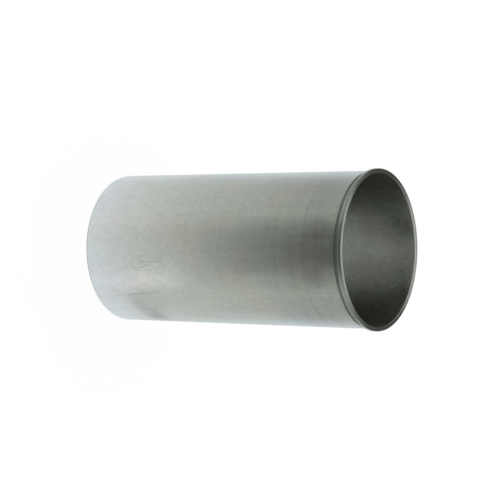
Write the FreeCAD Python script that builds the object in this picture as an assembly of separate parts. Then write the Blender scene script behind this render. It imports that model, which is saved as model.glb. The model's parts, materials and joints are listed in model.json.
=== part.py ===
import FreeCAD, Part
import math
import os

# Flanged dry cylinder liner: a thin turned and ground sleeve with a narrow flange at the head end.
# It stands on its skirt end: z = 0 is the lower end face, and +Z runs up the bore to the flange.
# All sizes are in millimetres.

# Driving sizes of the sleeve
BORE_DIAMETER = 102.0
WALL_THICKNESS = 1.5
TOTAL_LENGTH = 206.5

# Flange at the head end
FLANGE_OVERHANG = 1.5
FLANGE_HEIGHT = 2.8
FLANGE_TOP_CHAMFER = 0.4
FLANGE_SEAT_CHAMFER = 0.15

# Relief groove under the flange, which lets the seat run out clear of the ground outside
RELIEF_WIDTH = 3.0
RELIEF_DEPTH = 0.45
RELIEF_CORNER_RADIUS = 0.3
RELIEF_EDGE_CHAMFER = 0.1

# Lead-ins: for the piston rings at the head end, and for the block at the skirt end
BORE_LEAD_IN_WIDTH = 0.4
BORE_LEAD_IN_HEIGHT = 0.8
SKIRT_LEAD_IN_WIDTH = 0.25
SKIRT_LEAD_IN_HEIGHT = 0.8
SKIRT_BORE_CHAMFER = 0.2

# Radii and levels that follow from the sizes above
BORE_RADIUS = BORE_DIAMETER / 2
BODY_RADIUS = BORE_RADIUS + WALL_THICKNESS
FLANGE_RADIUS = BODY_RADIUS + FLANGE_OVERHANG
RELIEF_RADIUS = BODY_RADIUS - RELIEF_DEPTH
SEAT_LEVEL = TOTAL_LENGTH - FLANGE_HEIGHT
RELIEF_LEVEL = SEAT_LEVEL - RELIEF_WIDTH


def point(radius, height):
    """A point of the section, which lies in the XZ plane."""
    return FreeCAD.Vector(radius, 0, height)


def lines(points):
    """Straight edges from each point to the next."""
    return [Part.LineSegment(start, end).toShape() for start, end in zip(points, points[1:])]


def corner(centre, radius, first_degrees, last_degrees):
    """A quarter round of the section, between two angles measured from the outward direction."""
    middle_degrees = (first_degrees + last_degrees) / 2
    places = []
    for degrees in (first_degrees, middle_degrees, last_degrees):
        angle = math.radians(degrees)
        places.append(centre + FreeCAD.Vector(radius * math.cos(angle), 0, radius * math.sin(angle)))
    return Part.Arc(*places).toShape()


def skirt_edges():
    """Lower end face, its lead-in, and the ground outside up to the relief groove."""
    return lines([
        point(BORE_RADIUS, SKIRT_BORE_CHAMFER),
        point(BORE_RADIUS + SKIRT_BORE_CHAMFER, 0),
        point(BODY_RADIUS - SKIRT_LEAD_IN_WIDTH, 0),
        point(BODY_RADIUS, SKIRT_LEAD_IN_HEIGHT),
        point(BODY_RADIUS, RELIEF_LEVEL - RELIEF_EDGE_CHAMFER),
        point(BODY_RADIUS - RELIEF_EDGE_CHAMFER, RELIEF_LEVEL),
    ])


def relief_edges():
    """Square groove with a small round in each corner of its floor."""
    round_radius = RELIEF_CORNER_RADIUS
    lower_centre = point(RELIEF_RADIUS + round_radius, RELIEF_LEVEL + round_radius)
    upper_centre = point(RELIEF_RADIUS + round_radius, SEAT_LEVEL - round_radius)
    entry = lines([
        point(BODY_RADIUS - RELIEF_EDGE_CHAMFER, RELIEF_LEVEL),
        point(RELIEF_RADIUS + round_radius, RELIEF_LEVEL),
    ])
    floor = lines([
        point(RELIEF_RADIUS, RELIEF_LEVEL + round_radius),
        point(RELIEF_RADIUS, SEAT_LEVEL - round_radius),
    ])
    lower_round = corner(lower_centre, round_radius, 270, 180)
    upper_round = corner(upper_centre, round_radius, 180, 90)
    return entry + [lower_round] + floor + [upper_round]


def flange_edges():
    """Seat face, outer rim, top chamfer, end face and the lead-in of the bore."""
    return lines([
        point(RELIEF_RADIUS + RELIEF_CORNER_RADIUS, SEAT_LEVEL),
        point(FLANGE_RADIUS - FLANGE_SEAT_CHAMFER, SEAT_LEVEL),
        point(FLANGE_RADIUS, SEAT_LEVEL + FLANGE_SEAT_CHAMFER),
        point(FLANGE_RADIUS, TOTAL_LENGTH - FLANGE_TOP_CHAMFER),
        point(FLANGE_RADIUS - FLANGE_TOP_CHAMFER, TOTAL_LENGTH),
        point(BORE_RADIUS + BORE_LEAD_IN_WIDTH, TOTAL_LENGTH),
        point(BORE_RADIUS, TOTAL_LENGTH - BORE_LEAD_IN_HEIGHT),
    ])


def bore_edges():
    """Honed bore, straight from the head end to the skirt end."""
    return lines([
        point(BORE_RADIUS, TOTAL_LENGTH - BORE_LEAD_IN_HEIGHT),
        point(BORE_RADIUS, SKIRT_BORE_CHAMFER),
    ])


def cylinder_liner():
    """The whole section, turned once round the bore axis."""
    edges = skirt_edges() + relief_edges() + flange_edges() + bore_edges()
    section = Part.Face(Part.Wire(edges))
    axis_start = FreeCAD.Vector(0, 0, 0)
    axis_direction = FreeCAD.Vector(0, 0, 1)
    return section.revolve(axis_start, axis_direction, 360)


os.makedirs("parts", exist_ok=True)
liner = cylinder_liner()
liner.exportStep("parts/cylinder_liner.step")
print("cylinder_liner volume mm3:", round(liner.Volume, 1), "valid:", liner.isValid())
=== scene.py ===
import json
import math

import bpy
from mathutils import Matrix, Vector


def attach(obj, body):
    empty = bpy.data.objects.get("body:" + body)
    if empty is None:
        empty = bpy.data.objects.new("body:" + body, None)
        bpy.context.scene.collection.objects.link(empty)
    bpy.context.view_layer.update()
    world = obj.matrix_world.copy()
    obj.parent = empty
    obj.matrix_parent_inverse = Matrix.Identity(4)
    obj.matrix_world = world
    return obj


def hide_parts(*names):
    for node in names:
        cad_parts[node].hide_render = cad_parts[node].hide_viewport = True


# Flanged dry cylinder liner, standing on its skirt end. Sizes are in metres, angles in degrees.

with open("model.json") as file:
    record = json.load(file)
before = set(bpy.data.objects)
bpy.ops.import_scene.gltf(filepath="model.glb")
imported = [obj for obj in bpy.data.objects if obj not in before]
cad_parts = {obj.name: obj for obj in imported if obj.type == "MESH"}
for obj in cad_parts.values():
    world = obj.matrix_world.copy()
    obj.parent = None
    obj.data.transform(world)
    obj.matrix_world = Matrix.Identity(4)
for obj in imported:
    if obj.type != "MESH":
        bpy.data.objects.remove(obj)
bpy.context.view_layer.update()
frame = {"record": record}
mounts = {mount["name"]: mount for mount in frame["record"]["mounts"]}

# Main sizes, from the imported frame
MM_PER_METRE = 1000
BORE_RADIUS = mounts["bore"]["dims"]["r_mm"] / MM_PER_METRE
BODY_RADIUS = mounts["outside"]["dims"]["r_mm"] / MM_PER_METRE
SEAT_LEVEL = mounts["flange_seat"]["pos_m"][2]
TOP_LEVEL = mounts["head_face"]["pos_m"][2]

# Small sizes of the section, the same as in the solid
FLANGE_OVERHANG = 0.0015
FLANGE_RADIUS = BODY_RADIUS + FLANGE_OVERHANG
FLANGE_TOP_CHAMFER = 0.0004
FLANGE_SEAT_CHAMFER = 0.00015
RELIEF_WIDTH = 0.003
RELIEF_DEPTH = 0.00045
RELIEF_CORNER_RADIUS = 0.0003
RELIEF_EDGE_CHAMFER = 0.0001
BORE_LEAD_IN_WIDTH = 0.0004
BORE_LEAD_IN_HEIGHT = 0.0008
SKIRT_LEAD_IN_WIDTH = 0.00025
SKIRT_LEAD_IN_HEIGHT = 0.0008
SKIRT_BORE_CHAMFER = 0.0002

# Round of the edges, which the solid doesn't have, and how finely the rounds and the turn are divided
EDGE_ROUND = 0.00008
ROUND_STEPS = 4
SIDES = 360

# The photograph's camera: lens, the liner's lean in the picture, and where the flange centre is from it
LENS_MM = 115.03
SENSOR_WIDTH_MM = 36
TURN_TO_CAMERA = 32.895
DROP_TO_RIGHT = 0.438
FLANGE_RIGHT = 0.08643
FLANGE_DOWN = -0.00006
FLANGE_AWAY = 1.05795

# Sockets of the mix node when it mixes colours, and plain white
MIX_FIRST = 6
MIX_SECOND = 7
MIX_RESULT = 2
WHITE = (1, 1, 1)

# Turn of the anisotropy that lays the lines round the axis, and the middle value of every noise
LAY_TURN = 0.25
NOISE_MIDDLE = 0.5

# Ground outside: two base colours in soft patches, a tint at the skirt end, and the surface
GROUND_WARM = (0.672, 0.683, 0.643)
GROUND_COOL = (0.645, 0.688, 0.655)
HUE_SPREAD = (0.35, 0.65)
SKIRT_TINT = (1.03, 1.0, 1.065)
SKIRT_TINT_LEVELS = (0.0, 0.055)
GROUND_ROUGHNESS = 0.34
GROUND_ANISOTROPY = 0.6
GROUND_RELIEF = 0.0000015
GRAIN_IN_RELIEF = 0.6

# Noises of the ground outside: cycles per metre along X, Y and Z, detail, and the noise's own roughness
GROUND_NOISES = {
    "cloud": ((28, 28, 16), 2.0, 0.5),
    "mottle": ((190, 190, 100), 3.0, 0.6),
    "grain": ((620, 620, 330), 2.0, 0.5),
    "streaks": ((330, 330, 14), 2.0, 0.5),
    "lines": ((6, 6, 1900), 3.0, 0.65),
    "bands": ((5, 5, 330), 2.0, 0.5),
    "wisps": ((800, 800, 190), 2.0, 0.5),
    "hue": ((44, 44, 28), 2.0, 0.45),
}

# How far the noises change the lightness and the roughness of the ground outside, at most each way
GROUND_LIGHTNESS_SWINGS = {
    "cloud": 0.05, "mottle": 0.09, "grain": 0.14, "streaks": 0.06, "lines": 0.13, "bands": 0.10,
}
GROUND_ROUGHNESS_SWINGS = {"mottle": 0.03, "streaks": 0.03, "grain": 0.02}

# The grinding lines and bands are full at the flange end and fainter at the skirt end
LINES_LEVELS = (0.13, 0.19)
LINES_AT_SKIRT = 0.35

# Marks on the ground outside: arc from the near side, level, half width, half height, lean, and change
BODY_MARKS = [
    (0.0595, 0.0385, 0.0180, 0.0160, -35, -0.24),
    (0.0620, 0.0385, 0.0090, 0.0080, -30, -0.12),
    (0.0450, 0.0330, 0.0120, 0.0100, -25, -0.13),
    (0.0420, 0.0430, 0.0150, 0.0250, 0, -0.12),
    (0.0345, 0.0380, 0.0017, 0.0330, 5.5, -0.12),
    (0.0350, 0.0360, 0.0030, 0.0180, 5, -0.05),
    (0.0235, 0.0420, 0.0100, 0.0560, 0, 0.09),
    (0.0180, 0.0620, 0.0150, 0.0340, 0, 0.11),
    (-0.0690, 0.0400, 0.0120, 0.0420, 0, 0.10),
    (-0.0560, 0.1640, 0.0200, 0.0420, 0, -0.08),
    (0.0100, 0.0560, 0.0020, 0.0200, 5, -0.05),
    (-0.0247, 0.1600, 0.0050, 0.0550, 0, 0.05),
    (0.0270, 0.1850, 0.0070, 0.0350, 0, 0.05),
    (0.0450, 0.1200, 0.0300, 0.0700, 0, 0.07),
    (0.0530, 0.1785, 0.0170, 0.0020, 0, -0.09),
    (0.0560, 0.1680, 0.0120, 0.0018, 0, -0.06),
    (-0.0270, 0.1775, 0.0120, 0.0016, 0, -0.06),
    (-0.0520, 0.1980, 0.0400, 0.0400, 0, -0.13),
    (0.0190, 0.1850, 0.0110, 0.0130, 0, -0.17),
    (-0.0350, 0.1850, 0.0220, 0.0600, 0, -0.05),
    (0.0400, 0.1850, 0.0240, 0.0600, 0, -0.06),
    (0.0000, 0.1920, 0.0160, 0.0260, 0, -0.11),
    (-0.0135, 0.1880, 0.0120, 0.0180, 0, -0.17),
    (0.0600, 0.1780, 0.0210, 0.0500, 0, -0.13),
    (0.0205, 0.1800, 0.0135, 0.0400, 0, -0.125),
    (-0.0270, 0.1780, 0.0120, 0.0350, 0, -0.05),
    (0.0000, 0.1850, 0.0160, 0.0400, 0, -0.04),
    (0.0100, 0.0780, 0.0260, 0.0400, 0, 0.045),
]

# Share of a mark that has its full change, and how far and how finely the marks' outlines waver
MARK_CORE = 0.15
MARK_WAVER = 0.0035
WAVER_NOISE = ((130, 130, 130), 3.0, 0.5)

# A place of short dark scratches, and two places with more and with less of the tint, in the same terms
SCRATCHED_PLACES = [(0.0115, 0.0500, 0.0110, 0.0270, 5, -0.23)]
SCRATCH_SPREAD = (0.52, 0.66)
TINTED_PLACES = [
    (0.0255, 0.0400, 0.0110, 0.0500, 0, 0.55),
    (-0.0070, 0.0050, 0.0260, 0.0330, 0, -0.60),
]

# Turned surfaces: colour, roughness, anisotropy, and how far rings and mottling change the lightness
TURNED_END = ((0.58, 0.613, 0.562), 0.38, 1.0, 0.14)
FLANGE_RIM = ((0.40, 0.425, 0.392), 0.40, 0.85, 0.12)
# The relief groove's dark colour is partly dirt and partly painted shade in the recess
RELIEF_GROOVE = ((0.287, 0.315, 0.276), 0.48, 0.5, 0.20)
# The flange chamfer's dark colour is painted shade
FLANGE_CHAMFER = ((0.277, 0.298, 0.268), 0.33, 0.0, 0.10)
# The bore lead-in's bright colour is a painted highlight
BORE_LEAD_IN = ((0.695, 0.718, 0.668), 0.33, 0.0, 0.10)
WORN_EDGE = ((0.55, 0.58, 0.53), 0.34, 0.3, 0.06)

# Noises of the turned surfaces, where rings go by radius and height, and their change of the roughness
TURNING_RINGS = {
    "rings": ((9000, 9000, 1), 2.0, 0.5),
    "wide_rings": ((2600, 2600, 1), 1.0, 0.5),
}
TURNED_MOTTLE = ((260, 260, 260), 3.0, 0.6)
TURNED_ROUGHNESS_SWINGS = {"mottle": 0.04, "rings": 0.02}
TURNED_RELIEF = 0.000003

# Bands of painted highlight and painted shade on the turned surfaces: level or radius, reach, and change
FACE_EDGE_RADIUS = FLANGE_RADIUS - FLANGE_TOP_CHAMFER
# On the rim: painted shade at the seat edge and under the top chamfer, and a painted highlight between
RIM_HIGHLIGHT_AND_SHADE_BANDS = [
    (SEAT_LEVEL, 0.0006, -0.45),
    (SEAT_LEVEL + 0.0008, 0.0006, 0.30),
    (TOP_LEVEL - 0.0005, 0.0010, -0.27),
]
# In the groove: painted shade along its lower edge and under the flange seat
GROOVE_SHADE_BANDS = [
    (SEAT_LEVEL - RELIEF_WIDTH, 0.0012, -0.25),
    (SEAT_LEVEL, 0.0010, -0.35),
]
# Painted shade where the lead-in meets the honed bore
LEAD_IN_SHADE_BANDS = [(TOP_LEVEL - BORE_LEAD_IN_HEIGHT, 0.0006, -0.50)]
# Painted shade along the end face's outer edge, and more painted shade on its far side
FACE_EDGE_SHADE_BANDS = [(FACE_EDGE_RADIUS, 0.0007, -0.38)]
FACE_FAR_EDGE_SHADE = (FACE_EDGE_RADIUS, 0.0010, -0.28)
FACE_FAR_SHADE = -0.20

# Painted shade on the near side of the flange rim, and painted highlights on either side of it, in the same
# terms as the marks
RIM_PAINTED_LIGHT = [
    (0.0, TOP_LEVEL, 0.0150, 0.05, 0, -0.12),
    (-0.0230, TOP_LEVEL, 0.0110, 0.05, 0, 0.05),
    (0.0270, TOP_LEVEL, 0.0140, 0.05, 0, 0.14),
    (-0.0625, TOP_LEVEL, 0.0150, 0.05, 0, 0.28),
    (0.0625, TOP_LEVEL, 0.0150, 0.05, 0, 0.32),
]

# Honed bore: its surface, its crossed scratches on a helix, its other noises, and what they change
HONED_COLOUR = (0.558, 0.582, 0.537)
HONED_ROUGHNESS = 0.34
HONED_ANISOTROPY = 0.86
HONING_TURNS_PER_METRE = 6.5
HONING_SCRATCHES = [((1500, 1500, 10), 2.0, 0.6), ((420, 420, 8), 2.0, 0.6)]
HONING_RELIEF = 0.000005
BORE_NOISES = {
    "cloud": ((30, 30, 18), 2.0, 0.5),
    "mottle": ((230, 230, 190), 3.0, 0.55),
    "grain": ((640, 640, 560), 2.0, 0.5),
    "rings": ((5, 5, 700), 3.0, 0.6),
}
BORE_LIGHTNESS_SWINGS = {"cross_hatch": 0.14, "cloud": 0.07, "mottle": 0.14, "grain": 0.21, "rings": 0.05}
BORE_ROUGHNESS_SWINGS = {"cross_hatch": 0.02, "mottle": 0.02}

# Patches of painted shade inside the bore, and one of painted light: arc from the far side, and then as for
# the marks
BORE_PAINTED_SHADING = [
    (-0.0180, 0.1900, 0.0190, 0.0380, 0, -0.26),
    (-0.0350, 0.1750, 0.0150, 0.0700, 0, -0.26),
    (0.0300, 0.1800, 0.0300, 0.0650, 0, -0.36),
    (0.0, 0.2060, 0.0800, 0.0300, 0, -0.18),
    (-0.0560, 0.1700, 0.0220, 0.0900, 0, -0.16),
    (0.0570, 0.1700, 0.0260, 0.0900, 0, -0.30),
    (-0.0200, 0.1980, 0.0120, 0.0170, 0, -0.15),
    (0.0340, 0.2030, 0.0130, 0.0150, 0, -0.20),
    (0.0225, 0.1650, 0.0130, 0.0500, 0, 0.12),
]

# Arcs start at the side nearest to the camera, or at the side farthest from it
FROM_NEAR_SIDE = -1.0
FROM_FAR_SIDE = 1.0

# Studio: surroundings, lamp and floor, and its two sides
WORLD_LIGHT = 0.75
LAMP_PLACE = (-0.1, 0.2, 1.6)
LAMP_SIZE = 0.8
LAMP_POWER = 8.0
FLOOR_REACH = 12.0
FLOOR_COLOUR = 0.95
FLOOR_CAMERA_GLOW = 0.96
STUDIO_SIDES = (("left", -1), ("right", 1))

# Screen on the floor: its size, how dark it is by direction and by distance from the axis, and its tints
FLOOR_SCREEN_REACH = 1.2
FLOOR_SCREEN_GAP = 0.0005
FLOOR_SCREEN_CORNERS = 96
BROAD_BY_DIRECTION = [(0.0, 0.05), (0.10, 0.06), (0.16, 0.13), (0.28, 0.38), (0.45, 0.56), (0.6, 0.60)]
BROAD_BY_DISTANCE = [
    (0.052, 0.0), (0.075, 0.17), (0.1, 0.30), (0.13, 0.42),
    (0.17, 0.56), (0.215, 0.71), (0.27, 0.88), (0.34, 1.03),
]
FRONT_BY_DIRECTION = [(0.72, 0.0), (0.84, 0.22), (0.90, 0.48), (0.94, 0.78), (0.975, 1.0)]
FRONT_BY_DISTANCE = [(0.14, 0.0), (0.185, 0.06), (0.22, 0.11), (0.26, 0.21), (0.32, 0.37), (0.40, 0.46)]
SIDE_TINT = (0.91, 0.97, 1.035)
TINT_TURNS = (0.10, 0.50)
FRONT_TINTS = [
    (0.0, (0.91, 0.97, 1.01)),
    (0.25, (0.985, 0.985, 0.94)),
    (0.6, (0.96, 1.0, 0.92)),
    (0.9, (0.83, 1.0, 0.76)),
]

# Dark screens above, in front, behind and beside
SCREEN_TINT = (0.97, 1.0, 0.93)
SCREEN_LEVEL = 0.11
SCREEN_GAP = 0.02
OVERHEAD_HEIGHT = 0.85
OVERHEAD_REACH = 4.0
OVERHEAD_FRONT = -1.05
FRONT_SCREEN_PLACE = -1.3
FRONT_SCREEN_HALF_WIDTH = 0.8
FRONT_SCREEN_HEIGHT = 0.50
BACK_SCREEN_NEAR = 0.20
BACK_SCREEN_FAR = 2.5
BACK_SCREEN_PLACE = 1.4
SIDE_SCREEN_PLACE = 1.25
SIDE_SCREEN_FRONT = 0.1
SIDE_SCREEN_HEIGHT = 0.6

# Soft boxes under the screen above, where near and far are measured sideways from the liner
BOX_DROP = 0.02
TOP_BOX_HALF_WIDTH = 0.26
TOP_BOX_FRONT = -0.15
TOP_BOX_BACK = 0.60
TOP_BOX_LEVEL = 1.25
SIDE_BOX_NEAR = 0.42
SIDE_BOX_FAR = 1.10
SIDE_BOX_FRONT = -0.50
SIDE_BOX_BACK = 0.15
SIDE_BOX_LEVEL = 1.1
OUTER_BOX_NEAR = 1.0
OUTER_BOX_FAR = 1.6
OUTER_BOX_FRONT = 0.2
OUTER_BOX_BACK = 1.0
OUTER_BOX_LEVEL = 1.0


def section_corners():
    """Corners of the section, once round: radius, height, round, the round's surface, the next flat's."""
    relief_radius = BODY_RADIUS - RELIEF_DEPTH
    relief_level = SEAT_LEVEL - RELIEF_WIDTH
    small = EDGE_ROUND / 2
    corner = RELIEF_CORNER_RADIUS
    return [
        (BORE_RADIUS + SKIRT_BORE_CHAMFER, 0, EDGE_ROUND, "edge", "turned"),
        (BODY_RADIUS - SKIRT_LEAD_IN_WIDTH, 0, EDGE_ROUND, "edge", "rim"),
        (BODY_RADIUS, SKIRT_LEAD_IN_HEIGHT, EDGE_ROUND, "edge", "ground"),
        (BODY_RADIUS, relief_level - RELIEF_EDGE_CHAMFER, small, "edge", "edge"),
        (BODY_RADIUS - RELIEF_EDGE_CHAMFER, relief_level, small, "edge", "groove"),
        (relief_radius, relief_level, corner, "groove", "groove"),
        (relief_radius, SEAT_LEVEL, corner, "groove", "groove"),
        (FLANGE_RADIUS - FLANGE_SEAT_CHAMFER, SEAT_LEVEL, small, "edge", "edge"),
        (FLANGE_RADIUS, SEAT_LEVEL + FLANGE_SEAT_CHAMFER, small, "edge", "rim"),
        (FLANGE_RADIUS, TOP_LEVEL - FLANGE_TOP_CHAMFER, EDGE_ROUND, "edge", "chamfer"),
        (FLANGE_RADIUS - FLANGE_TOP_CHAMFER, TOP_LEVEL, EDGE_ROUND, "edge", "face"),
        (BORE_RADIUS + BORE_LEAD_IN_WIDTH, TOP_LEVEL, EDGE_ROUND, "edge", "lead_in"),
        (BORE_RADIUS, TOP_LEVEL - BORE_LEAD_IN_HEIGHT, EDGE_ROUND, "edge", "honed"),
        (BORE_RADIUS, SKIRT_BORE_CHAMFER, EDGE_ROUND, "edge", "turned"),
    ]


def rounded_section(corners):
    """The section as points with exact normals: every corner is an arc, and flats lie between them."""
    points = []
    count = len(corners)
    for index, (radius, height, round_radius, round_surface, next_surface) in enumerate(corners):
        here = Vector((radius, height))
        before = Vector(corners[index - 1][:2])
        after = Vector(corners[(index + 1) % count][:2])
        arriving = (here - before).normalized()
        leaving = (after - here).normalized()
        turn = math.atan2(arriving.cross(leaving), arriving.dot(leaving))
        cut = round_radius * math.tan(abs(turn) / 2)
        start = here - arriving * cut
        side = math.copysign(1, turn)
        centre = start + Vector((-arriving.y, arriving.x)) * side * round_radius
        for step in range(ROUND_STEPS + 1):
            angle = turn * step / ROUND_STEPS
            spoke = Matrix.Rotation(angle, 2) @ (start - centre)
            normal = spoke.normalized() * side
            surface = next_surface if step == ROUND_STEPS else round_surface
            points.append((centre + spoke, normal, surface))
    return points


def lathe(name, points, materials):
    """Turns the section round the Z axis into a closed mesh with smooth, exact normals."""
    vertices, normals, faces, slots = [], [], [], []
    order = list(materials)
    count = len(points)
    for side in range(SIDES):
        angle = 2 * math.pi * side / SIDES
        across, along = math.cos(angle), math.sin(angle)
        for place, normal, _ in points:
            vertices.append((place.x * across, place.x * along, place.y))
            normals.append((normal.x * across, normal.x * along, normal.y))
    for side in range(SIDES):
        here, there = side * count, (side + 1) % SIDES * count
        for index in range(count):
            after = (index + 1) % count
            faces.append((here + index, there + index, there + after, here + after))
            slots.append(order.index(points[index][2]))
    mesh = bpy.data.meshes.new(name)
    mesh.from_pydata(vertices, [], faces)
    for surface in order:
        mesh.materials.append(materials[surface])
    mesh.polygons.foreach_set("material_index", slots)
    mesh.polygons.foreach_set("use_smooth", [True] * len(faces))
    mesh.normals_split_custom_set_from_vertices(normals)
    piece = bpy.data.objects.new(name, mesh)
    bpy.context.scene.collection.objects.link(piece)
    return piece


def add(tree, kind, inputs=None, **settings):
    """Adds a node, sets its options, and fills or joins its input sockets."""
    node = tree.nodes.new("ShaderNode" + kind)
    for option, value in settings.items():
        setattr(node, option, value)
    for socket, value in (inputs or {}).items():
        if isinstance(value, bpy.types.NodeSocket):
            tree.links.new(value, node.inputs[socket])
        else:
            node.inputs[socket].default_value = value
    return node


def calculate(tree, operation, first, second=0.0, third=0.0, clamp=False):
    """Result of one operation on up to three numbers."""
    sockets = {0: first, 1: second, 2: third}
    return add(tree, "Math", sockets, operation=operation, use_clamp=clamp).outputs[0]


def total(tree, values):
    """Sum of several values."""
    result = values[0]
    for value in values[1:]:
        result = calculate(tree, "ADD", result, value)
    return result


def scaled(tree, vector, scale):
    """Coordinates or a colour, with each part multiplied by its own scale."""
    return add(tree, "VectorMath", {0: vector, 1: scale}, operation="MULTIPLY").outputs["Vector"]


def noise_node(tree, place, cycles, detail, roughness):
    """Noise with the given cycles per metre along X, Y and Z."""
    sockets = {"Vector": scaled(tree, place, cycles), "Scale": 1.0, "Detail": detail, "Roughness": roughness}
    return add(tree, "TexNoise", sockets)


def noise(tree, place, cycles, detail, roughness):
    """Value of a noise, from 0 to 1."""
    return noise_node(tree, place, cycles, detail, roughness).outputs[0]


def noises(tree, place, rows):
    """Values of several noises, by their names."""
    return {name: noise(tree, place, *row) for name, row in rows.items()}


def swing(tree, value, amount):
    """Turns noise from 0 to 1 into a change around nought, of at most the given amount each way."""
    return calculate(tree, "MULTIPLY_ADD", value, 2 * amount, -amount)


def swings(tree, values, amounts):
    """Changes around nought by the named values, of at most their own amounts each way."""
    return {name: swing(tree, values[name], amount) for name, amount in amounts.items()}


def fade(tree, value, first, last, start=0.0, end=1.0):
    """Smooth change from start to end while the value goes from first to last."""
    sockets = {"Value": value, "From Min": first, "From Max": last, "To Min": start, "To Max": end}
    return add(tree, "MapRange", sockets, interpolation_type="SMOOTHSTEP").outputs["Result"]


def blended(tree, share, first, second):
    """Colour between two, by a share from 0 to 1."""
    node = add(tree, "Mix", {"Factor": share}, data_type="RGBA")
    node.inputs[MIX_FIRST].default_value = (*first, 1)
    node.inputs[MIX_SECOND].default_value = (*second, 1)
    return node.outputs[MIX_RESULT]


def twisted(tree, vector, turns_per_metre):
    """Coordinates turned about the Z axis in step with the height, for helical lines without a seam."""
    height = add(tree, "SeparateXYZ", {0: vector}).outputs["Z"]
    angle = calculate(tree, "MULTIPLY", height, 2 * math.pi * turns_per_metre)
    return add(tree, "VectorRotate", {"Vector": vector, "Angle": angle}, rotation_type="Z_AXIS").outputs[0]


def new_metal(name, colour, roughness, anisotropy):
    """Bare metal whose lay runs round the axis; gives the material, its tree, its shader and coordinates."""
    material = bpy.data.materials.new(name)
    material.use_nodes = True
    tree = material.node_tree
    shader = tree.nodes["Principled BSDF"]
    shader.inputs["Base Color"].default_value = (*colour, 1)
    shader.inputs["Metallic"].default_value = 1
    shader.inputs["Roughness"].default_value = roughness
    shader.inputs["Anisotropic"].default_value = anisotropy
    shader.inputs["Anisotropic Rotation"].default_value = LAY_TURN
    tangent = add(tree, "Tangent", direction_type="RADIAL", axis="Z")
    tree.links.new(tangent.outputs[0], shader.inputs["Tangent"])
    place = add(tree, "TexCoord").outputs["Object"]
    return material, tree, shader, place


def shade(tree, shader, colour, lightness, roughness, height, height_step):
    """Joins the lightness, roughness and fine relief to the shader."""
    tint = add(tree, "VectorMath", {0: colour, "Scale": lightness}, operation="SCALE").outputs["Vector"]
    tree.links.new(tint, shader.inputs["Base Color"])
    tree.links.new(roughness, shader.inputs["Roughness"])
    sockets = {"Strength": 1.0, "Distance": height_step, "Height": height}
    tree.links.new(add(tree, "Bump", sockets).outputs["Normal"], shader.inputs["Normal"])


def unroll(tree, place, side, shift=(0, 0, 0)):
    """Place on the unrolled surface: along the arc from the near or the far side, and up the liner."""
    parts = add(tree, "SeparateXYZ", {0: place})
    depth = calculate(tree, "MULTIPLY", parts.outputs["Y"], side)
    angle = calculate(tree, "ARCTAN2", parts.outputs["X"], depth)
    arc = calculate(tree, "MULTIPLY", angle, BODY_RADIUS)
    unrolled = add(tree, "CombineXYZ", {"X": arc, "Y": parts.outputs["Z"]}).outputs[0]
    return add(tree, "VectorMath", {0: unrolled, 1: shift}, operation="ADD").outputs["Vector"]


def spot(tree, unrolled, arc, level, half_width, half_height, lean):
    """Soft oval mark on an unrolled surface, 1 in the middle and 0 at its edge."""
    sockets = {
        "Vector": unrolled, "Location": (arc, level, 0), "Rotation": (0, 0, math.radians(lean)),
        "Scale": (half_width, half_height, 1),
    }
    inside = add(tree, "Mapping", sockets, vector_type="TEXTURE").outputs[0]
    distance = add(tree, "VectorMath", {0: inside}, operation="LENGTH").outputs["Value"]
    return fade(tree, distance, MARK_CORE, 1.0, 1.0, 0.0)


def mark_changes(tree, unrolled, marks, strength=1.0):
    """Change made by each mark of a table, times a strength that may differ from place to place."""
    changes = []
    for *where, change in marks:
        mask = calculate(tree, "MULTIPLY", spot(tree, unrolled, *where), strength)
        changes.append(calculate(tree, "MULTIPLY", mask, change))
    return changes


def waver(tree, place):
    """Small shifts along the arc and up the liner, so that the outlines of marks are uneven."""
    colour = noise_node(tree, place, *WAVER_NOISE).outputs["Color"]
    middle = (NOISE_MIDDLE, NOISE_MIDDLE, NOISE_MIDDLE)
    shift = add(tree, "VectorMath", {0: colour, 1: middle}, operation="SUBTRACT").outputs["Vector"]
    return scaled(tree, shift, (MARK_WAVER, MARK_WAVER, 0))


def ground_colour(tree, unrolled, height, hue):
    """Two base colours in soft patches, with a tint at the skirt end."""
    colour = blended(tree, fade(tree, hue, *HUE_SPREAD), GROUND_WARM, GROUND_COOL)
    at_skirt = fade(tree, height, *SKIRT_TINT_LEVELS, 1.0, 0.0)
    tint_share = total(tree, [at_skirt, *mark_changes(tree, unrolled, TINTED_PLACES)])
    return scaled(tree, colour, blended(tree, tint_share, WHITE, SKIRT_TINT))


def ground_lightness(tree, unrolled, height, values):
    """Grinding lines and bands, streaks, mottling, darker and lighter marks and the scratched place."""
    changes = swings(tree, values, GROUND_LIGHTNESS_SWINGS)
    flange_end = fade(tree, height, *LINES_LEVELS, LINES_AT_SKIRT, 1.0)
    for name in ("lines", "bands"):
        changes[name] = calculate(tree, "MULTIPLY", changes[name], flange_end)
    patchy = calculate(tree, "ADD", values["mottle"], NOISE_MIDDLE)
    marks = mark_changes(tree, unrolled, BODY_MARKS, patchy)
    wisps = fade(tree, values["wisps"], *SCRATCH_SPREAD)
    scratches = mark_changes(tree, unrolled, SCRATCHED_PLACES, wisps)
    return total(tree, [1.0, *changes.values(), *marks, *scratches])


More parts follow.
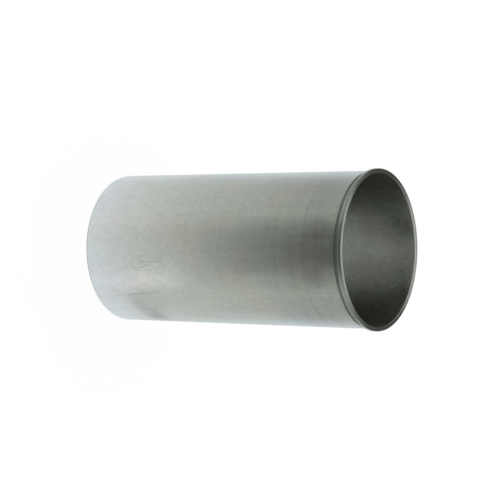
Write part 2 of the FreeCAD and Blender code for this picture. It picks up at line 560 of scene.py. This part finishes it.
def ground_outside():
    """Ground outside: its colour and lightness, and a fine relief of lines and grain."""
    material, tree, shader, place = new_metal(
        "ground_outside", GROUND_WARM, GROUND_ROUGHNESS, GROUND_ANISOTROPY)
    values = noises(tree, place, GROUND_NOISES)
    height = add(tree, "SeparateXYZ", {0: place}).outputs["Z"]
    unrolled = unroll(tree, place, FROM_NEAR_SIDE, waver(tree, place))
    colour = ground_colour(tree, unrolled, height, values["hue"])
    lightness = ground_lightness(tree, unrolled, height, values)
    roughness = total(tree, [GROUND_ROUGHNESS, *swings(tree, values, GROUND_ROUGHNESS_SWINGS).values()])
    relief = total(tree, [values["lines"], calculate(tree, "MULTIPLY", values["grain"], GRAIN_IN_RELIEF)])
    shade(tree, shader, colour, lightness, roughness, relief, GROUND_RELIEF)
    return material


def radius_and_height(tree, place):
    """Distance from the axis, and height."""
    parts = add(tree, "SeparateXYZ", {0: place})
    flat = add(tree, "CombineXYZ", {"X": parts.outputs["X"], "Y": parts.outputs["Y"]}).outputs[0]
    return add(tree, "VectorMath", {0: flat}, operation="LENGTH").outputs["Value"], parts.outputs["Z"]


def edge_band(tree, value, middle, reach, change):
    """Painted highlight or shade that is full at one radius or height and gone at the given reach from it.
    """
    distance = calculate(tree, "ABSOLUTE", calculate(tree, "SUBTRACT", value, middle))
    return fade(tree, distance, 0.0, reach, change, 0.0)


def far_side_painted_shade(tree, place, radius):
    """Painted shade on the far side of the end face, stronger along its outer edge."""
    depth = add(tree, "SeparateXYZ", {0: place}).outputs["Y"]
    far_shade_amount = calculate(tree, "ADD", edge_band(tree, radius, *FACE_FAR_EDGE_SHADE), FACE_FAR_SHADE)
    return calculate(tree, "MULTIPLY", fade(tree, depth, 0.0, BODY_RADIUS / 2), far_shade_amount)


def turned_metal(name, finish, height_bands=(), radius_bands=(), marks=(), far_side_shade=False):
    """Turned surface: fine feed rings and mottling, with bands and marks of painted highlight and shade, or
    painted shade on the far side.
    """
    colour, roughness, anisotropy, contrast = finish
    material, tree, shader, place = new_metal(name, colour, roughness, anisotropy)
    radius, height = radius_and_height(tree, place)
    section_place = add(tree, "CombineXYZ", {"X": radius, "Y": height}).outputs[0]
    values = noises(tree, section_place, TURNING_RINGS)
    values["mottle"] = noise(tree, place, *TURNED_MOTTLE)
    changes = [swing(tree, value, contrast) for value in values.values()]
    changes += [edge_band(tree, height, *band) for band in height_bands]
    changes += [edge_band(tree, radius, *band) for band in radius_bands]
    if marks:
        changes += mark_changes(tree, unroll(tree, place, FROM_NEAR_SIDE), marks)
    if far_side_shade:
        changes.append(far_side_painted_shade(tree, place, radius))
    lightness = total(tree, [1.0, *changes])
    uneven = total(tree, [roughness, *swings(tree, values, TURNED_ROUGHNESS_SWINGS).values()])
    shade(tree, shader, colour, lightness, uneven, values["rings"], TURNED_RELIEF)
    return material


def end_face():
    """Flange end face: painted shade along its outer edge, and more painted shade on the far side."""
    return turned_metal("end_face", TURNED_END, radius_bands=FACE_EDGE_SHADE_BANDS, far_side_shade=True)


def turned_end():
    """Skirt end face and the chamfer inside it."""
    return turned_metal("turned_end", TURNED_END)


def flange_rim():
    """Flange rim with bands and places of painted highlight and shade, and the lead-in outside the skirt."""
    return turned_metal("flange_rim", FLANGE_RIM, RIM_HIGHLIGHT_AND_SHADE_BANDS, marks=RIM_PAINTED_LIGHT)


def relief_groove():
    """Relief groove, with the flange seat: dark partly from dirt and partly as painted shade, with painted
    shade at both sides.
    """
    return turned_metal("relief_groove", RELIEF_GROOVE, GROOVE_SHADE_BANDS)


def flange_chamfer():
    """Chamfer round the flange end face, dark as painted shade."""
    return turned_metal("flange_chamfer", FLANGE_CHAMFER)


def bore_lead_in():
    """Lead-in of the bore, bright as a painted highlight, with painted shade where it meets the honed part.
    """
    return turned_metal("bore_lead_in", BORE_LEAD_IN, LEAD_IN_SHADE_BANDS)


def worn_edge():
    """Rounds of the edges, and the smallest chamfers."""
    return turned_metal("worn_edge", WORN_EDGE)


def honing_cross_hatch(tree, place):
    """Mean of the scratches that climb the bore both ways."""
    scratches = []
    for turns_per_metre in (HONING_TURNS_PER_METRE, -HONING_TURNS_PER_METRE):
        helical = twisted(tree, place, turns_per_metre)
        scratches += [noise(tree, helical, *row) for row in HONING_SCRATCHES]
    return calculate(tree, "MULTIPLY", total(tree, scratches), 1 / len(scratches))


def honed_bore():
    """Honed bore: crossed helical scratches, faint rings left by the boring tool, cloudy patches, and
    patches of painted shade and one of painted light.
    """
    material, tree, shader, place = new_metal("honed_bore", HONED_COLOUR, HONED_ROUGHNESS, HONED_ANISOTROPY)
    values = noises(tree, place, BORE_NOISES)
    values["cross_hatch"] = honing_cross_hatch(tree, place)
    changes = swings(tree, values, BORE_LIGHTNESS_SWINGS)
    painted_shading = mark_changes(tree, unroll(tree, place, FROM_FAR_SIDE), BORE_PAINTED_SHADING)
    lightness = total(tree, [1.0, *changes.values(), *painted_shading])
    roughness = total(tree, [HONED_ROUGHNESS, *swings(tree, values, BORE_ROUGHNESS_SWINGS).values()])
    shade(tree, shader, HONED_COLOUR, lightness, roughness, values["cross_hatch"], HONING_RELIEF)
    return material


def photograph_camera():
    """Camera at the photograph's view: the liner leans over to the right of the picture."""
    turn, drop = math.radians(TURN_TO_CAMERA), math.radians(DROP_TO_RIGHT)
    lean = math.asin(math.sin(turn) * math.cos(drop))
    forward = Vector((0, math.cos(lean), -math.sin(lean)))
    up_the_liner = Vector((0, math.sin(lean), math.cos(lean)))
    sideways = Vector((-1, 0, 0))
    roll = math.atan2(math.sin(drop), math.cos(turn) * math.cos(drop))
    right = up_the_liner * math.cos(roll) + sideways * math.sin(roll)
    down = up_the_liner * math.sin(roll) - sideways * math.cos(roll)
    flange_centre = Vector((0, 0, TOP_LEVEL))
    place = flange_centre - right * FLANGE_RIGHT - down * FLANGE_DOWN - forward * FLANGE_AWAY
    data = bpy.data.cameras.new("camera")
    data.lens = LENS_MM
    data.sensor_width = SENSOR_WIDTH_MM
    camera = bpy.data.objects.new("camera", data)
    axes = Matrix((right, -down, -forward)).transposed()
    camera.matrix_world = Matrix.Translation(place) @ axes.to_4x4()
    bpy.context.scene.collection.objects.link(camera)
    bpy.context.scene.camera = camera


def seen_directly_or_mirrored(tree, camera_share):
    """1 for rays from mirrors and glass, and the given share for the camera's own rays."""
    rays = add(tree, "LightPath")
    mirrored = calculate(tree, "MAXIMUM", rays.outputs["Is Glossy Ray"], rays.outputs["Is Transmission Ray"])
    direct = calculate(tree, "MULTIPLY", rays.outputs["Is Camera Ray"], camera_share)
    return calculate(tree, "MAXIMUM", mirrored, direct)


def white_world():
    """White surroundings that the camera and reflections see in full, and a little less of it as light."""
    world = bpy.data.worlds.new("world")
    world.use_nodes = True
    tree = world.node_tree
    background = tree.nodes["Background"]
    background.inputs["Color"].default_value = (*WHITE, 1)
    strength = calculate(tree, "MAXIMUM", seen_directly_or_mirrored(tree, 1.0), WORLD_LIGHT)
    tree.links.new(strength, background.inputs["Strength"])
    bpy.context.scene.world = world


def stage_piece(name, vertices, faces, material):
    """Floor or screen: part of the studio and not of the liner."""
    mesh = bpy.data.meshes.new(name)
    mesh.from_pydata(vertices, [], faces)
    mesh.materials.append(material)
    sheet = bpy.data.objects.new(name, mesh)
    bpy.context.scene.collection.objects.link(sheet)
    return sheet


def stage_sheet(name, corners, material):
    """Stage piece of one face between four corners."""
    return stage_piece(name, corners, [(0, 1, 2, 3)], material)


def for_reflections_only(sheet):
    """Lets a stage piece be seen in the metal, and nowhere else."""
    sheet.visible_camera = False
    sheet.visible_diffuse = False
    sheet.visible_shadow = False
    sheet.visible_transmission = False


def square(low_x, high_x, low_y, high_y, level):
    """Corners of a level sheet."""
    return [(low_x, low_y, level), (high_x, low_y, level), (high_x, high_y, level), (low_x, high_y, level)]


def upright(start, end, height):
    """Corners of an upright screen that stands on the line from start to end."""
    return [(*start, SCREEN_GAP), (*end, SCREEN_GAP), (*end, height), (*start, height)]


def bare_material(name):
    """Material without a shader yet; gives it, its tree, and the socket that its surface is joined to."""
    material = bpy.data.materials.new(name)
    material.use_nodes = True
    tree = material.node_tree
    tree.nodes.remove(tree.nodes["Principled BSDF"])
    return material, tree, tree.nodes["Material Output"].inputs["Surface"]


def pale_floor():
    """Pale floor that keeps a faint shadow of the liner."""
    material, tree, surface = bare_material("floor")
    plain = add(tree, "BsdfDiffuse", {"Color": (FLOOR_COLOUR, FLOOR_COLOUR, FLOOR_COLOUR, 1)})
    glow = add(tree, "Emission", {"Color": (*WHITE, 1)})
    share = seen_directly_or_mirrored(tree, FLOOR_CAMERA_GLOW)
    blend = add(tree, "MixShader", {0: share, 1: plain.outputs[0], 2: glow.outputs[0]})
    tree.links.new(blend.outputs[0], surface)
    stage_sheet("floor", square(-FLOOR_REACH, FLOOR_REACH, -FLOOR_REACH, FLOOR_REACH, 0), material)


def fill_ramp(ramp, stops):
    """Sets a ramp's stops from pairs of place and colour, or place and grey level."""
    first_place = 0.5
    while len(ramp.elements) < len(stops):
        ramp.elements.new(first_place)
    for element, (place, colour) in zip(ramp.elements, stops):
        element.position = place
        element.color = (*colour, 1) if isinstance(colour, tuple) else (colour, colour, colour, 1)


def by_stops(tree, value, stops, reach=1.0):
    """Value looked up between stops, whose places are given out of the reach."""
    ramp = add(tree, "ValToRGB", {0: calculate(tree, "DIVIDE", value, reach)})
    fill_ramp(ramp.color_ramp, [(place / reach, colour) for place, colour in stops])
    return ramp.outputs[0]


def glowing(name, colour, strength):
    """Material that only glows; gives the material, its tree and its emission."""
    material, tree, surface = bare_material(name)
    glow = add(tree, "Emission", {"Color": (*colour, 1), "Strength": strength})
    tree.links.new(glow.outputs[0], surface)
    return material, tree, glow


def screen_darkness(tree, towards_camera, distance, by_direction, by_distance):
    """Darkness of the floor screen that depends on the direction and on the distance."""
    direction_share = by_stops(tree, towards_camera, by_direction)
    distance_share = by_stops(tree, distance, by_distance, FLOOR_SCREEN_REACH)
    return calculate(tree, "MULTIPLY", direction_share, distance_share)


def floor_screen_material():
    """White beside the liner and dark towards the camera, with tints by direction and by darkness."""
    material, tree, glow = glowing("floor_screen", WHITE, 1.0)
    spread = add(tree, "TexCoord").outputs["Object"]
    distance = add(tree, "VectorMath", {0: spread}, operation="LENGTH").outputs["Value"]
    ahead = calculate(tree, "DIVIDE", add(tree, "SeparateXYZ", {0: spread}).outputs["Y"], distance)
    half = 0.5
    towards_camera = calculate(tree, "MULTIPLY_ADD", ahead, -half, half)
    broad = screen_darkness(tree, towards_camera, distance, BROAD_BY_DIRECTION, BROAD_BY_DISTANCE)
    front = screen_darkness(tree, towards_camera, distance, FRONT_BY_DIRECTION, FRONT_BY_DISTANCE)
    darkness = calculate(tree, "ADD", broad, front, clamp=True)
    tint = add(tree, "Mix", {"Factor": fade(tree, towards_camera, *TINT_TURNS)}, data_type="RGBA")
    tint.inputs[MIX_FIRST].default_value = (*SIDE_TINT, 1)
    tree.links.new(by_stops(tree, darkness, FRONT_TINTS), tint.inputs[MIX_SECOND])
    tree.links.new(tint.outputs[MIX_RESULT], glow.inputs["Color"])
    tree.links.new(calculate(tree, "SUBTRACT", 1.0, darkness), glow.inputs["Strength"])
    return material


def floor_screen():
    """Flat ring on the floor round the liner, seen only in the metal."""
    count = FLOOR_SCREEN_CORNERS
    vertices, faces = [], []
    for index in range(count):
        angle = 2 * math.pi * index / count
        for radius in (BODY_RADIUS + FLOOR_SCREEN_GAP, FLOOR_SCREEN_REACH):
            vertices.append((radius * math.cos(angle), radius * math.sin(angle), 0))
        after = (index + 1) % count
        faces.append((2 * index, 2 * index + 1, 2 * after + 1, 2 * after))
    sheet = stage_piece("floor_screen", vertices, faces, floor_screen_material())
    sheet.location.z = FLOOR_SCREEN_GAP
    for_reflections_only(sheet)


def dark_screens():
    """Dark screens seen only in the metal: one above, one in front, and pairs behind and beside."""
    material = glowing("dark_screen", SCREEN_TINT, SCREEN_LEVEL)[0]
    corners = square(-OVERHEAD_REACH, OVERHEAD_REACH, OVERHEAD_FRONT, OVERHEAD_REACH, OVERHEAD_HEIGHT)
    for_reflections_only(stage_sheet("overhead_screen", corners, material))
    front = FRONT_SCREEN_PLACE
    half = FRONT_SCREEN_HALF_WIDTH
    corners = upright((-half, front), (half, front), FRONT_SCREEN_HEIGHT)
    for_reflections_only(stage_sheet("front_screen", corners, material))
    for name, side in STUDIO_SIDES:
        near, far = side * BACK_SCREEN_NEAR, side * BACK_SCREEN_FAR
        corners = upright((near, BACK_SCREEN_PLACE), (far, BACK_SCREEN_PLACE), OVERHEAD_HEIGHT)
        for_reflections_only(stage_sheet(name + "_back_screen", corners, material))
        beside = side * SIDE_SCREEN_PLACE
        corners = upright((beside, SIDE_SCREEN_FRONT), (beside, BACK_SCREEN_PLACE), SIDE_SCREEN_HEIGHT)
        for_reflections_only(stage_sheet(name + "_side_screen", corners, material))


def soft_box(name, low_x, high_x, front, back, strength):
    """One soft box under the screen above, seen only in the metal."""
    corners = square(low_x, high_x, front, back, OVERHEAD_HEIGHT - BOX_DROP)
    for_reflections_only(stage_sheet(name, corners, glowing(name, WHITE, strength)[0]))


def soft_boxes():
    """Soft boxes: one over the liner, and two on each side of it."""
    half = TOP_BOX_HALF_WIDTH
    soft_box("top_box", -half, half, TOP_BOX_FRONT, TOP_BOX_BACK, TOP_BOX_LEVEL)
    pairs = [
        ("", SIDE_BOX_NEAR, SIDE_BOX_FAR, SIDE_BOX_FRONT, SIDE_BOX_BACK, SIDE_BOX_LEVEL),
        ("outer_", OUTER_BOX_NEAR, OUTER_BOX_FAR, OUTER_BOX_FRONT, OUTER_BOX_BACK, OUTER_BOX_LEVEL),
    ]
    for prefix, near, far, front, back, strength in pairs:
        for name, side in STUDIO_SIDES:
            low_x, high_x = sorted((side * near, side * far))
            soft_box(prefix + name + "_box", low_x, high_x, front, back, strength)


def soft_lamp():
    """Large soft lamp, above and a little behind, for the shadow on the floor."""
    data = bpy.data.lights.new("soft_lamp", "AREA")
    data.shape = "DISK"
    data.size = LAMP_SIZE
    data.energy = LAMP_POWER
    lamp = bpy.data.objects.new("soft_lamp", data)
    lamp.location = LAMP_PLACE
    aim = Vector((0, 0, TOP_LEVEL / 2)) - Vector(LAMP_PLACE)
    lamp.rotation_euler = aim.to_track_quat("-Z", "Y").to_euler()
    lamp.visible_glossy = False
    bpy.context.scene.collection.objects.link(lamp)


photograph_camera()
white_world()
pale_floor()
floor_screen()
dark_screens()
soft_boxes()
soft_lamp()
materials = {
    "ground": ground_outside(),
    "face": end_face(),
    "turned": turned_end(),
    "rim": flange_rim(),
    "groove": relief_groove(),
    "chamfer": flange_chamfer(),
    "lead_in": bore_lead_in(),
    "edge": worn_edge(),
    "honed": honed_bore(),
}
liner = lathe("liner_body", rounded_section(section_corners()), materials)
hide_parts("cylinder_liner")
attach(liner, "root")

bpy.context.scene.view_settings.view_transform = "Standard"
